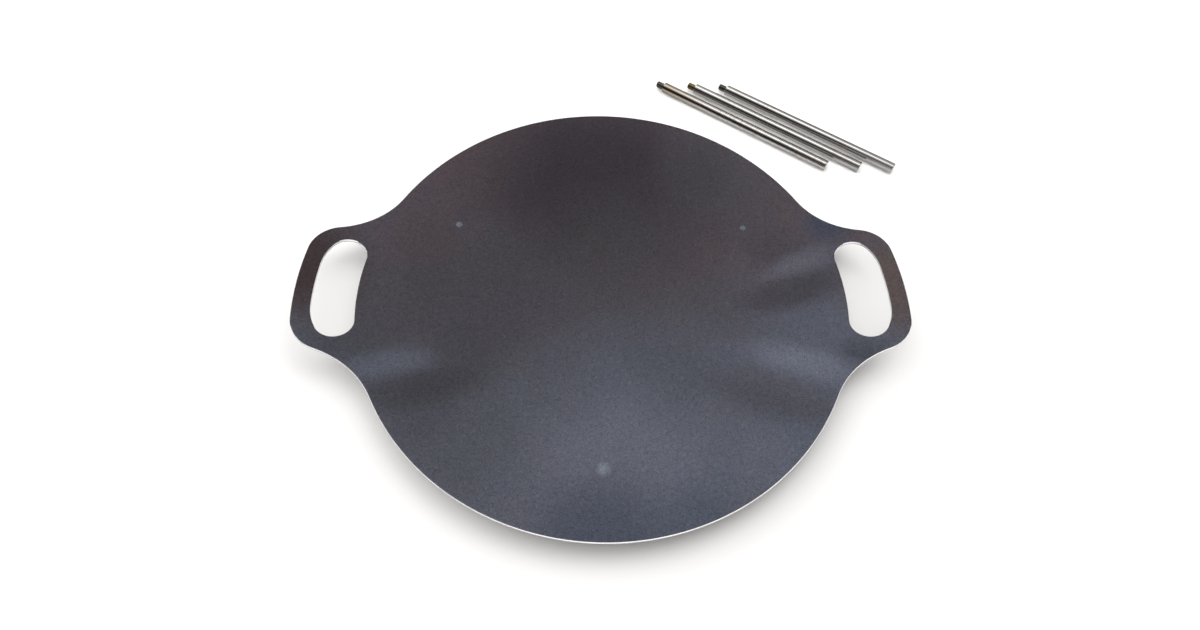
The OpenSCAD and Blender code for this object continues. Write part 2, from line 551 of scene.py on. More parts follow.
@dataclass(frozen=True)
class RoughSteelFinish(Finish):
    """Dull steel of the nuts and the weld beads, tinted by heat in patches."""

    base: Colour
    tint: Colour
    roughness: float
    patches_per_metre: float
    metallic: float = 0.9
    grain_per_metre: float = 2400.0
    grain_contrast: float = 0.8
    grain_height: float = 0.00005
    tint_roughness: float = 0.12

    def build(self, effects: SharedEffects) -> Material:
        """Builds the finish.

        Args:
            effects: The shared effects.

        Returns:
            The material.
        """
        material, bench, shader = new_material(self.name, self.metallic)
        place = bench.place()
        grain = bench.group(
            effects.grain, place=place, per_metre=self.grain_per_metre, contrast=self.grain_contrast
        )
        patch = bench.group(effects.patches, place=place, per_metre=self.patches_per_metre)["Amount"]
        colour = bench.mix(patch, self.base, self.tint)
        bench.feed(shader["Base Color"], bench.shaded(colour, grain["Speckle"]))
        bench.feed(shader["Roughness"], bench.scaled(patch, self.tint_roughness, self.roughness))
        bench.feed(shader["Normal"], bench.bump(grain["Height"], self.grain_height))
        return material


def spin_profile(bm: Mesh, geometry: list, turn: float, steps: int, advance: float = 0.0) -> list:
    """Spins a profile round Z, and along it if asked.

    Args:
        bm: The mesh.
        geometry: The profile's vertices and edges.
        turn: The angle in radians.
        steps: The number of steps.
        advance: The distance along Z at each step.

    Returns:
        The geometry at the end of the spin.
    """
    full = math.isclose(turn, math.tau) and advance == 0.0
    result = bmesh.ops.spin(
        bm, geom=geometry, cent=(0, 0, 0), axis=(0, 0, 1), dvec=(0, 0, advance),
        angle=turn, steps=steps, use_merge=full,
    )
    return result["geom_last"]


def chain(bm: Mesh, points: list[tuple[float, float]], closed: bool = False) -> list:
    """Draws a profile in the XZ plane.

    Args:
        bm: The mesh.
        points: The distance from the axis and the height of each corner.
        closed: Whether the last corner joins the first.

    Returns:
        The new vertices and edges.
    """
    verts = [bm.verts.new((r, 0.0, z)) for r, z in points]
    pairs = list(zip(verts, verts[1:]))
    if closed:
        pairs.append((verts[-1], verts[0]))
    return verts + [bm.edges.new(pair) for pair in pairs]


def edges_of(geometry: list) -> list[Edge]:
    """Picks the edges out of some geometry."""
    return [g for g in geometry if isinstance(g, Edge)]


def from_axis(vert: Vert) -> float:
    """The distance of a vertex from the Z axis."""
    return math.hypot(vert.co.x, vert.co.y)


def cut_across(bm: Mesh, z: float, clear_below: bool = False, clear_above: bool = False) -> list[Edge]:
    """Cuts a mesh level at a height.

    Args:
        bm: The mesh.
        z: The height of the cut.
        clear_below: Whether what is below goes.
        clear_above: Whether what is above goes.

    Returns:
        The edges on the cut.
    """
    result = bmesh.ops.bisect_plane(
        bm, geom=bm.verts[:] + bm.edges[:] + bm.faces[:], dist=VERY_CLOSE, plane_co=(0, 0, z),
        plane_no=(0, 0, 1), clear_inner=clear_below, clear_outer=clear_above,
    )
    return edges_of(result["geom_cut"])


def finished(bm: Mesh, name: str, materials: list[Material], sharp: float) -> Piece:
    """Makes an object of a mesh whose place is in its vertices.

    Args:
        bm: The mesh, which is freed.
        name: The object's name.
        materials: Its materials, in the order of their index.
        sharp: The angle in degrees from which an edge stays sharp.

    Returns:
        The object, at the origin.
    """
    mesh = bpy.data.meshes.new(name)
    bm.to_mesh(mesh)
    bm.free()
    mesh.shade_smooth()
    mesh.set_sharp_from_angle(angle=math.radians(sharp))
    for material in materials:
        mesh.materials.append(material)
    piece = bpy.data.objects.new(name, mesh)
    bpy.context.scene.collection.objects.link(piece)
    LOG.info("%s: %d faces", name, len(mesh.polygons))
    return piece


@dataclass(frozen=True)
class Swell:
    """A soft ridge that the press left in the sheet beside a handle."""

    x: float
    y: float
    bearing: float
    half_length: float
    half_width: float
    height: float

    def lift(self, x: float, y: float) -> float:
        """Works out how far the ridge lifts the sheet.

        Args:
            x: A place on the sheet.
            y: The same place.

        Returns:
            The lift in metres.
        """
        turn = math.radians(self.bearing)
        along = (x - self.x) * math.cos(turn) + (y - self.y) * math.sin(turn)
        across = (y - self.y) * math.cos(turn) - (x - self.x) * math.sin(turn)
        return self.height * math.exp(-((along / self.half_length) ** 2) - (across / self.half_width) ** 2)


@dataclass(frozen=True)
class DishShape:
    """The sizes of the dish that the plate and the nuts share, in metres."""

    rim_r: float = 0.240
    sheet_t: float = 0.003
    depth: float = 0.025
    belly_flat_r: float = 0.030
    nut_r: float = 0.176

    @property
    def top_ball_r(self) -> float:
        """The radius of the ball that the top face is part of."""
        return (self.rim_r**2 + self.depth**2) / (2 * self.depth)

    @property
    def under_ball_r(self) -> float:
        """The radius of the ball that the under face is part of."""
        return self.top_ball_r + self.sheet_t

    @property
    def ball_z(self) -> float:
        """The height of the middle of both balls."""
        return math.sqrt(self.under_ball_r**2 - self.belly_flat_r**2)

    def top_z(self, x: float, y: float) -> float:
        """The height of the top face over a place on the ground."""
        return self.ball_z - math.sqrt(self.top_ball_r**2 - x * x - y * y)

    def nut_frame(self, place: NutPlace) -> Matrix:
        """Works out where a nut sits.

        Args:
            place: Which of the nuts.

        Returns:
            The nut's frame, whose Z points out of its mouth.
        """
        tilt = math.asin(self.nut_r / self.under_ball_r)
        turned = Matrix.Rotation(math.radians(place.value), 4, "Z") @ Matrix.Translation((0, 0, self.ball_z))
        tipped = Matrix.Rotation(math.pi - tilt, 4, "Y") @ Matrix.Translation((0, 0, self.under_ball_r))
        return turned @ tipped


# The tints of the top: the broad ones, partly heat tint and partly painted highlight in front and painted
# shade at the back; then the streaks along the swells, painted highlight on their ridges and painted shade
# beside them; then the front weld's halo.
TOP_TINTS_AND_PAINTED_LIGHT = (
    TintSpot(0.000, 0.150, 0.076, (0.020, 0.0165, 0.021), 0.95),
    TintSpot(0.020, 0.045, 0.052, (0.042, 0.039, 0.045), 0.55),
    TintSpot(0.150, 0.165, 0.045, (0.040, 0.038, 0.045), 0.7),
    TintSpot(-0.130, -0.006, 0.055, (0.036, 0.034, 0.040), 0.8),
    TintSpot(-0.150, -0.145, 0.048, (0.049, 0.051, 0.062), 0.75),
    TintSpot(0.020, -0.155, 0.042, (0.088, 0.093, 0.119), 0.8),
    TintSpot(0.062, -0.078, 0.030, (0.050, 0.053, 0.066), 0.5),
    TintSpot(-0.135, -0.062, 0.018, (0.034, 0.033, 0.039), 0.5),
    TintSpot(-0.166, -0.124, 0.018, (0.038, 0.040, 0.048), 0.5),
    TintSpot(-0.005, -0.245, 0.034, (0.045, 0.052, 0.072), 0.9),
    TintSpot(0.075, -0.222, 0.018, (0.047, 0.057, 0.079), 0.6),
    TintSpot(0.218, -0.055, 0.033, (0.072, 0.081, 0.105), 0.5),
    TintSpot(-0.240, -0.075, 0.028, (0.038, 0.040, 0.050), 0.8),
    TintSpot(-0.215, -0.015, 0.030, (0.040, 0.038, 0.044), 0.6),
    TintSpot(0.243, -0.082, 0.015, (0.042, 0.045, 0.057), 0.85),
    TintSpot(0.292, 0.000, 0.028, (0.066, 0.0505, 0.049), 0.95),
    TintSpot(0.240, 0.085, 0.014, (0.032, 0.037, 0.057), 0.9),
    TintSpot(-0.295, 0.020, 0.032, (0.031, 0.0212, 0.0215), 0.95),
    TintSpot(0.108, 0.165, 0.022, (0.030, 0.027, 0.032), 0.6),
    TintSpot(0.178, 0.058, 0.018, (0.036, 0.033, 0.039), 0.6),
    TintSpot(-0.180, 0.065, 0.020, (0.044, 0.035, 0.038), 0.55),
    TintSpot(0.118, 0.002, 0.022, (0.040, 0.040, 0.047), 0.35),
    TintSpot(-0.035, -0.095, 0.026, (0.050, 0.053, 0.066), 0.4),
    TintSpot(0.138, -0.170, 0.018, (0.088, 0.094, 0.121), 0.45),
    # Streaks along the swells: the lighter ones are painted highlight on the ridges, the darker ones painted
    # shade beside them.
    TintSpot(-0.203, -0.082, 0.010, (0.072, 0.078, 0.104), 0.6, 16.0, 2.4),
    TintSpot(-0.172, -0.102, 0.011, (0.029, 0.028, 0.033), 0.65, 14.0, 3.2),
    TintSpot(0.196, -0.081, 0.011, (0.112, 0.122, 0.157), 0.65, -23.0, 2.9),
    TintSpot(0.160, -0.110, 0.014, (0.044, 0.041, 0.049), 0.65, -18.0, 2.6),
    TintSpot(0.203, 0.034, 0.009, (0.084, 0.084, 0.108), 0.6, 20.0, 2.5),
    TintSpot(0.189, 0.004, 0.011, (0.028, 0.026, 0.031), 0.72, 12.0, 2.5),
    TintSpot(-0.0034, -0.1763, 0.0032, (0.134, 0.152, 0.184), 0.9),
)
# The marks that the welds under the sheet left on its top.
WELD_MARKS = (
    TintSpot(-0.1524, 0.0881, 0.0035, (0.106, 0.118, 0.142), 0.9),
    TintSpot(0.1516, 0.0860, 0.0034, (0.094, 0.108, 0.134), 0.85),
    TintSpot(-0.0034, -0.1763, 0.0022, (0.160, 0.180, 0.205), 0.5),
)


@dataclass
class GriddlePlate:
    """The pressed sheet: dish, handles and hand holes, as one piece."""

    dish: DishShape
    effects: SharedEffects
    handle_tip_r: float = 0.295
    corner_r: float = 0.035
    corner_gap: float = 0.071
    neck_r: float = 0.092
    hole_tip_r: float = 0.279
    hole_rim_r: float = 0.2405
    hole_outer_r: float = 0.050
    hole_outer_gap: float = 0.0385
    hole_inner_r: float = 0.0175
    arc_step: float = 0.0022
    border_w: float = 0.0014
    cell: float = 0.006
    edge_round: float = 0.0008
    edge_steps: int = 3
    sharp: float = 50.0
    # A face is a side of the sheet, bare, or made bare as a painted highlight along the front edge, if its
    # normal rises less than this.
    side_below: float = 0.5
    bare_below: float = 0.72
    highlight_below: float = 0.95
    # Only a face that looks forward, with its normal's Y below this, gets that painted highlight.
    highlight_facing: float = -0.25
    swells: tuple[Swell, ...] = (
        Swell(-0.192, -0.092, 16.0, 0.048, 0.022, 0.0013),
        Swell(0.185, -0.092, -22.0, 0.062, 0.022, 0.0017),
        Swell(0.198, 0.020, 20.0, 0.040, 0.017, 0.0013),
        Swell(-0.205, 0.020, -15.0, 0.035, 0.020, 0.0006),
    )
    top_finish: SheetFinish = SheetFinish("griddle_top_skin", tints_and_painted_light=TOP_TINTS_AND_PAINTED_LIGHT, marks=WELD_MARKS)
    under_finish: SheetFinish = SheetFinish(
        "griddle_under_skin", brown_and_shade=(0.080, 0.068, 0.066), blue_and_highlight=(0.090, 0.094, 0.108)
    )
    edge_finish: CutEdgeFinish = CutEdgeFinish("cut_edge_steel")

    def trace(self, bm: Mesh, start_r: float, arcs: list[tuple[Vector, float]]) -> tuple[Vert, Vert]:
        """Draws a row of arcs, each on from the last.

        Args:
            bm: The mesh.
            start_r: The distance along X that the first arc starts at.
            arcs: Each arc's centre and its angle in radians, positive to the left.

        Returns:
            The first and the last vertex.
        """
        first = last = bm.verts.new((start_r, 0, 0))
        for centre, turn in arcs:
            length = abs(turn) * (last.co - centre).length
            steps = max(2, math.ceil(length / self.arc_step))
            result = bmesh.ops.spin(
                bm, geom=[last], cent=centre, axis=(0, 0, 1), dvec=(0, 0, 0), angle=turn, steps=steps
            )
            last = next(g for g in result["geom_last"] if isinstance(g, Vert))
        return first, last

    @staticmethod
    def polar(r: float, turn: float) -> Vector:
        """The point at a distance and a direction from the middle of the plate."""
        return Vector((r * math.cos(turn), r * math.sin(turn), 0.0))

    @staticmethod
    def corner_angle(side_a: float, side_b: float, across: float) -> float:
        """The angle between two sides of a triangle whose third side lies across from it."""
        return math.acos((side_a**2 + side_b**2 - across**2) / (2 * side_a * side_b))

    @staticmethod
    def bearing(start: Vector, end: Vector) -> float:
        """The direction from one point to another, in radians."""
        return math.atan2(end.y - start.y, end.x - start.x)

    def outer_edge(self, bm: Mesh) -> tuple[Vert, Vert]:
        """Draws a quarter of the outer edge, from the middle of the right grip to the back of the rim.

        Args:
            bm: The mesh.

        Returns:
            The first and the last vertex.
        """
        middle = Vector((0, 0, 0))
        corner_centre_r = self.handle_tip_r - self.corner_r
        corner_turn = math.asin(self.corner_gap / 2 / corner_centre_r)
        neck_centre_r = self.dish.rim_r + self.neck_r
        between = self.neck_r + self.corner_r
        neck_turn = corner_turn + self.corner_angle(neck_centre_r, corner_centre_r, between)
        corner = self.polar(corner_centre_r, corner_turn)
        neck = self.polar(neck_centre_r, neck_turn)
        meet = self.bearing(corner, neck)
        return self.trace(bm, self.handle_tip_r, [
            (middle, corner_turn), (corner, meet - corner_turn), (neck, neck_turn - meet),
            (middle, math.pi / 2 - neck_turn),
        ])

    def hole_edge(self, bm: Mesh) -> tuple[Vert, Vert]:
        """Draws half of the right hand hole's edge, from its grip side to its rim side.

        Args:
            bm: The mesh.

        Returns:
            The first and the last vertex.
        """
        middle = Vector((0, 0, 0))
        outer_centre_r = self.hole_tip_r - self.hole_outer_r
        outer_turn = math.asin(self.hole_outer_gap / 2 / outer_centre_r)
        inner_centre_r = self.hole_rim_r + self.hole_inner_r
        between = self.hole_outer_r - self.hole_inner_r
        inner_turn = outer_turn + self.corner_angle(outer_centre_r, inner_centre_r, between)
        outer = self.polar(outer_centre_r, outer_turn)
        inner = self.polar(inner_centre_r, inner_turn)
        meet = self.bearing(outer, inner)
        return self.trace(bm, self.hole_tip_r, [
            (middle, outer_turn), (outer, meet - outer_turn), (inner, inner_turn + math.pi - meet),
            (middle, -inner_turn),
        ])

    def flat_blank(self) -> Mesh:
        """Cuts the flat blank: a quarter is filled, mirrored twice and divided into small cells.

        Returns:
            The blank's mesh, level at height 0, with a narrow border along its edges.
        """
        bm = bmesh.new()
        grip, back = self.outer_edge(bm)
        hole_grip, hole_rim = self.hole_edge(bm)
        centre = bm.verts.new((0, 0, 0))
        for pair in ((grip, hole_grip), (hole_rim, centre), (centre, back)):
            bm.edges.new(pair)
        bmesh.ops.contextual_create(bm, geom=bm.edges[:])
        for axis in ("X", "Y"):
            bmesh.ops.mirror(
                bm, geom=bm.verts[:] + bm.edges[:] + bm.faces[:], matrix=Matrix.Identity(4),
                merge_dist=CLOSE, axis=axis,
            )
        bmesh.ops.remove_doubles(bm, verts=bm.verts[:], dist=CLOSE)
        bmesh.ops.reverse_faces(bm, faces=[f for f in bm.faces if f.normal.z < 0])
        border = bmesh.ops.inset_region(
            bm, faces=bm.faces[:], thickness=self.border_w, use_boundary=True, use_even_offset=True
        )["faces"]
        for face in border:
            face.material_index = SheetSkin.CUT_EDGE.value
        self.divide(bm, Vector((1, 0, 0)))
        self.divide(bm, Vector((0, 1, 0)))
        return bm

    def divide(self, bm: Mesh, axis: Vector) -> None:
        """Divides the blank inside its border into strips of one cell's width.

        Args:
            bm: The mesh.
            axis: The direction across the strips.
        """
        rest = [f for f in bm.faces if f.material_index == SheetSkin.TOP.value]
        reach = math.ceil(self.handle_tip_r / self.cell)
        for i in range(-reach, reach):
            distance = (i + 0.5) * self.cell
            edges = {e for f in rest for e in f.edges}
            verts = {v for f in rest for v in f.verts}
            result = bmesh.ops.bisect_plane(
                bm, geom=rest + list(edges) + list(verts), dist=CLOSE, plane_co=axis * distance, plane_no=axis
            )
            faces = {g for g in result["geom"] if isinstance(g, Face)}
            rest = [f for f in faces if max(v.co.dot(axis) for v in f.verts) > distance + CLOSE]

    def pressed_z(self, point: Vector) -> float:
        """The height of the sheet's top face over a point, with its swells."""
        return self.dish.top_z(point.x, point.y) + sum(swell.lift(point.x, point.y) for swell in self.swells)

    def skin(self, face: Face) -> SheetSkin:
        """Tells which skin a face of the sheet has.

        Args:
            face: The face.

        Returns:
            Its skin.
        """
        up = face.normal.z
        # Forward-facing bevel faces turn bare bright steel up to a steeper rise, a painted highlight along
        # the front edge.
        highlit = up > 0.0 and face.normal.y < self.highlight_facing
        if abs(up) < (self.highlight_below if highlit else self.bare_below):
            return SheetSkin.CUT_EDGE
        return SheetSkin.TOP if up > 0 else SheetSkin.UNDER

    def build(self) -> Piece:
        """Presses the blank into the dish, gives it its thickness and dresses it.

        Returns:
            The plate's object.
        """
        bm = self.flat_blank()
        for vert in bm.verts:
            vert.co.z = self.pressed_z(vert.co)
        bm.normal_update()
        bmesh.ops.solidify(bm, geom=bm.faces[:], thickness=self.dish.sheet_t)
        bmesh.ops.recalc_face_normals(bm, faces=bm.faces[:])
        for vert in bm.verts:
            vert.co.z = max(vert.co.z, 0.0)
        bm.normal_update()
        corners = [
            e for e in bm.edges
            if len(e.link_faces) == 2 and sum(abs(f.normal.z) < self.side_below for f in e.link_faces) == 1
        ]
        bmesh.ops.bevel(
            bm, geom=corners, offset=self.edge_round, offset_type="OFFSET", segments=self.edge_steps,
            profile=0.5, affect="EDGES", clamp_overlap=True, material=-1,
        )
        bm.normal_update()
        depth = bm.verts.layers.float.new(self.edge_finish.depth_name)
        for vert in bm.verts:
            vert[depth] = (self.pressed_z(vert.co) - vert.co.z) / self.dish.sheet_t
        for face in bm.faces:
            face.material_index = self.skin(face).value
        finishes = (self.top_finish, self.under_finish, self.edge_finish)
        materials = [finish.material(self.effects) for finish in finishes]
        piece = finished(bm, "griddle_sheet", materials, self.sharp)
        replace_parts(piece, "griddle_plate")
        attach(piece, "plate")
        return piece


@dataclass
class LegNut:
    """A nut under the plate: its thread and the weld bead round it. The hexagon itself is the CAD node."""

    place: NutPlace
    dish: DishShape
    effects: SharedEffects
    node: Piece
    height: float = 0.011
    hole_r: float = 0.0041
    thread_bite: float = 0.00003
    thread_root_r: float = 0.0034
    thread_foot: Pair = (0.04, 0.96)
    thread_crest: Pair = (0.38, 0.62)
    thread_sharp: float = 60.0
    pitch: float = 0.00125
    turns: int = 7
    steps_per_turn: int = 40
    bead_r: float = 0.0105
    bead_inner_r: float = 0.0060
    bead_lip: float = 0.00045
    bead_height: float = 0.0041
    bead_sink: float = 0.0001
    bead_tuck: float = 0.0004
    bead_sharp: float = 70.0
    # The bead's slope from its foot to its lip: how far along, and how far it bulges.
    bead_slope: tuple[Pair, ...] = (
        (0.0, -0.02), (0.14, 0.02), (0.36, 0.05), (0.62, 0.05), (0.85, 0.02), (1.0, 0.0)
    )
    bulge_out: float = 1.4
    ripples: int = 26
    steps_per_ripple: int = 6
    ripple_height: float = 0.0003
    ripple_bow: float = 4.0
    still_w: float = 0.0002
    finish: RoughSteelFinish = RoughSteelFinish(
        "dull_nut_steel", base=(0.20, 0.19, 0.18), tint=(0.12, 0.105, 0.095),
        roughness=0.42, patches_per_metre=160.0,
    )
    bead_finish: RoughSteelFinish = RoughSteelFinish(
        "tinted_weld_metal", base=(0.17, 0.165, 0.165), tint=(0.10, 0.085, 0.095),
        roughness=0.38, patches_per_metre=260.0,
    )

    def build(self) -> list[Piece]:
        """Builds and dresses the nut's pieces.

        Returns:
            The thread and the weld bead.
        """
        self.node.data.materials.clear()
        self.node.data.materials.append(self.finish.material(self.effects))
        LOG.info("%s: dressed", self.node.name)
        return [self.build_thread(), self.build_bead()]

    def build_thread(self) -> Piece:
        """Winds the ridge of the thread inside the nut.

        Returns:
            The thread's object.
        """
        bm = bmesh.new()
        low = (self.height - (self.turns + 1) * self.pitch) / 2
        ridge = [(self.hole_r + self.thread_bite, share) for share in self.thread_foot]
        ridge += [(self.thread_root_r, share) for share in reversed(self.thread_crest)]
        profile = chain(bm, [(r, low + share * self.pitch) for r, share in ridge], closed=True)
        first = edges_of(profile)
        steps = self.turns * self.steps_per_turn
        last = spin_profile(bm, profile, self.turns * math.tau, steps, self.pitch / self.steps_per_turn)
        for end in (first, edges_of(last)):
            bmesh.ops.contextual_create(bm, geom=end)
        bmesh.ops.recalc_face_normals(bm, faces=bm.faces[:])
        return self.set_in_place(bm, "thread", self.finish, self.thread_sharp)

    def build_bead(self) -> Piece:
        """Lays the rippled weld bead round the nut.

        Returns:
            The bead's object, which stands for the CAD bead.
        """
        bm = bmesh.new()
        top_r = self.bead_inner_r + self.bead_lip
        outline = []
        for share, bulge in self.bead_slope:
            r = self.bead_r + (top_r - self.bead_r) * share + bulge * self.bead_height * self.bulge_out
            outline.append((r, self.bead_height * (share + bulge)))
        outline.append((self.bead_inner_r, self.bead_height))
        outline.append((self.bead_inner_r, -self.bead_sink))
        outline.append((self.bead_r - self.bead_tuck, -self.bead_sink))
        steps = self.ripples * self.steps_per_ripple
        spin_profile(bm, chain(bm, outline, closed=True), math.tau, steps)
        bmesh.ops.remove_doubles(bm, verts=bm.verts[:], dist=VERY_CLOSE)
        bmesh.ops.recalc_face_normals(bm, faces=bm.faces[:])
        for vert in bm.verts:
            r = from_axis(vert)
            if r < top_r + self.still_w or vert.co.z < 0:
                continue
            crest = (r - top_r) / (self.bead_r - top_r)
            lag = self.ripple_bow * (crest - 0.5) ** 2
            wave = math.sin(self.ripples * math.atan2(vert.co.y, vert.co.x) + lag)
            grow = 1 + self.ripple_height * wave * math.sin(math.pi * min(1.0, crest)) / r
            vert.co = [along * grow for along in vert.co]
        piece = self.set_in_place(bm, "bead", self.bead_finish, self.bead_sharp)
        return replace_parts(piece, f"{self.place.name.lower()}_nut_weld")

    def set_in_place(self, bm: Mesh, part: str, finish: RoughSteelFinish, sharp: float) -> Piece:
        """Moves a piece of the nut to its place under the plate and dresses it.

        Args:
            bm: The piece's mesh, round Z.
            part: The piece's own word in its name.
            finish: Its finish.
            sharp: The angle from which its edges stay sharp.

        Returns:
            The piece's object.
        """
        bmesh.ops.transform(bm, matrix=self.dish.nut_frame(self.place), verts=bm.verts[:])
        name = f"{self.place.name.lower()}_nut_{part}"
        piece = finished(bm, name, [finish.material(self.effects)], sharp)
        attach(piece, "plate")
        return piece


@dataclass
class ScrewLeg:
    """A loose leg: a turned bar with a threaded stud, lying on the ground."""

    place: LegPlace
    effects: SharedEffects
    bar_r: float = 0.006
    length: float = 0.224
    bevel: float = 0.0005
    stud_r: float = 0.004
    stud_root_r: float = 0.00332
    stud_length: float = 0.010
    stud_bevel: float = 0.0008
    relief: float = 0.0012
    relief_depth: float = 0.0001
    shoulder_gap: float = 0.0004
    pitch: float = 0.00125
    # Where a tooth's outline bends, in shares of the pitch, from the root up to the crest and down again.
    tooth_bends: tuple[float, ...] = (0.0, 0.17, 0.44, 0.56, 0.83, 1.0)
    turns_below: int = 2
    spare_turns: int = 3
    steps: int = 48
    sharp: float = 35.0
    row_bearing: float = 54.5
    near_row_r: float = 0.3045
    row_step: float = 0.0215
    near_shift: float = 0.004
    next_shift: float = 0.033
    bar_colour: Colour = (0.38, 0.369, 0.359)
    stain: Colour = (0.255, 0.213, 0.158)
    bar_roughness: float = 0.13
    stud_colour: Colour = (0.15, 0.142, 0.13)
    stud_stain: Colour = (0.08, 0.07, 0.055)
    stud_stained: float = 0.6
    brassy_stud: Colour = (0.22, 0.17, 0.095)
    stud_roughness: float = 0.18

    def build(self) -> Piece:
        """Turns the bar, cuts the stud's thread, lays the leg down and dresses it.

        Returns:
            The leg's object.
        """
        bm = self.thread()
        stud_edges = [e for e in bm.edges if e.is_boundary]
        for face in bm.faces:
            face.material_index = LegSkin.STUD.value
        self.add_bar(bm, stud_edges)
        bmesh.ops.recalc_face_normals(bm, faces=bm.faces[:])
        bmesh.ops.transform(bm, matrix=self.lying(), verts=bm.verts[:])
        word = self.place.name.lower()
        piece = finished(bm, f"{word}_leg_turned", self.materials(word), self.sharp)
        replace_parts(piece, f"{word}_leg")
        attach(piece, f"leg_{word}")
        return piece

    def materials(self, word: str) -> list[Material]:
        """Makes the materials of the bar and the stud.

        Args:
            word: The leg's own word in their names.

        Returns:
            The two materials, in the order of their index.
        """
        wear = BarWear.WORN if self.place is LegPlace.NEAR else BarWear.CLEAN
        stained, feed_shade, brown_from = wear.value
        bar = TurnedSteelFinish(
            f"{word}_leg_bar", self.row_bearing, self.bar_colour, self.stain, stained,
            self.bar_roughness, feed_shade, brown_from,
        )
        stud = TurnedSteelFinish(
            f"{word}_leg_stud", self.row_bearing,
            self.brassy_stud if self.place is LegPlace.MIDDLE else self.stud_colour,
            self.stud_stain, self.stud_stained, self.stud_roughness,
        )
        return [bar.material(self.effects), stud.material(self.effects)]

    def thread(self) -> Mesh:
        """Winds the stud's thread, with a relief at the shoulder and a bevel at the tip.

        Returns:
            A mesh that is open at the shoulder.
        """
        bm = bmesh.new()
        tip = self.length + self.stud_length
        low = self.length - self.turns_below * self.pitch
        root, crest = self.stud_root_r, self.stud_r
        tooth = zip((root, root, crest, crest, root, root), self.tooth_bends)
        profile = chain(bm, [(r, low + share * self.pitch) for r, share in tooth])
        turns = math.ceil(self.stud_length / self.pitch) + self.spare_turns
        spin_profile(bm, profile, turns * math.tau, turns * self.steps, self.pitch / self.steps)
        bmesh.ops.remove_doubles(bm, verts=bm.verts[:], dist=CLOSE)
        cut_across(bm, self.length, clear_below=True)
        cut_across(bm, self.length + self.relief)
        cut_across(bm, tip - self.stud_bevel)
        end = cut_across(bm, tip, clear_above=True)
        for vert in bm.verts:
            height = vert.co.z - self.length
            most = self.stud_r - max(0.0, height - (self.stud_length - self.stud_bevel))
            if height < self.relief - VERY_CLOSE:
                most = self.stud_root_r - self.relief_depth
            r = from_axis(vert)
            if r > most:
                vert.co.x *= most / r
                vert.co.y *= most / r
        bmesh.ops.remove_doubles(bm, verts=bm.verts[:], dist=CLOSE)
        bmesh.ops.contextual_create(bm, geom=[e for e in end if e.is_valid])
        return bm

    def add_bar(self, bm: Mesh, stud_edges: list[Edge]) -> None:
        """Turns the bar and joins its shoulder to the stud.

        Args:
            bm: The mesh with the stud.
            stud_edges: The stud's open edge at the shoulder.
        """
        inner = self.stud_root_r + self.shoulder_gap
        profile = chain(bm, [
            (0.0, 0.0), (self.bar_r - self.bevel, 0.0), (self.bar_r, self.bevel),
            (self.bar_r, self.length - self.bevel), (self.bar_r - self.bevel, self.length),
            (inner, self.length),
        ])
        spin_profile(bm, profile, math.tau, self.steps)
        bmesh.ops.remove_doubles(bm, verts=[v for v in bm.verts if v.co.z < CLOSE], dist=VERY_CLOSE)
        shoulder = [
            e for e in bm.edges if e.is_boundary and all(abs(from_axis(v) - inner) < CLOSE for v in e.verts)
        ]
        bmesh.ops.bridge_loops(bm, edges=shoulder + [e for e in stud_edges if e.is_valid])

    def lying(self) -> Matrix:
        """Works out how the leg lies.

        Returns:
            The matrix that lays an upright leg down in its place in the row.
        """
        place = self.place.value
        spot = Vector((
            self.near_row_r + place * self.row_step,
            self.near_shift - self.length / 2 - place * self.next_shift,
            self.bar_r,
        ))
        row = Matrix.Rotation(math.radians(self.row_bearing), 4, "Z")
        return row @ Matrix.Translation(spot) @ Matrix.Rotation(-math.pi / 2, 4, "X")


@dataclass(frozen=True)
class SoftBox:
    """A soft lamp and the place that it points at."""

    name: str
    location: Point
    target: Point
    width: float
    watts: float
    spread: float = 180.0

    def build(self) -> None:
        """Hangs the lamp, which metal doesn't mirror."""
        lamp = bpy.data.lights.new(self.name, "AREA")
        lamp.shape = "RECTANGLE"
        lamp.size = self.width
        lamp.size_y = self.width
        lamp.energy = self.watts
        lamp.spread = math.radians(self.spread)
        box = bpy.data.objects.new(self.name, lamp)
        box.location = self.location
        away = Vector(self.target) - Vector(self.location)
        box.rotation_euler = away.to_track_quat("-Z", "Y").to_euler()
        box.visible_glossy = False
        bpy.context.scene.collection.objects.link(box)


@dataclass(frozen=True)
class RoomPatch:
    """A round part of the room that is lighter or darker than the rest, with its angles in degrees."""

    towards: Point
    inner: float
    outer: float
    light: float

    def lay(self, bench: NodeBench, direction: Socket, under: Feed) -> Socket:
        """Lays the patch over the light of the room.

        Args:
            bench: The world's bench.
            direction: The direction that is looked in.
            under: The light without the patch.

        Returns:
            The light with the patch.
        """
        middle = tuple(Vector(self.towards).normalized())
        near = bench.vector_math("DOT_PRODUCT", direction, middle).outputs["Value"]
        edge, full = (math.cos(math.radians(a)) for a in (self.outer, self.inner))
        return bench.span(near, edge, full, under, self.light)


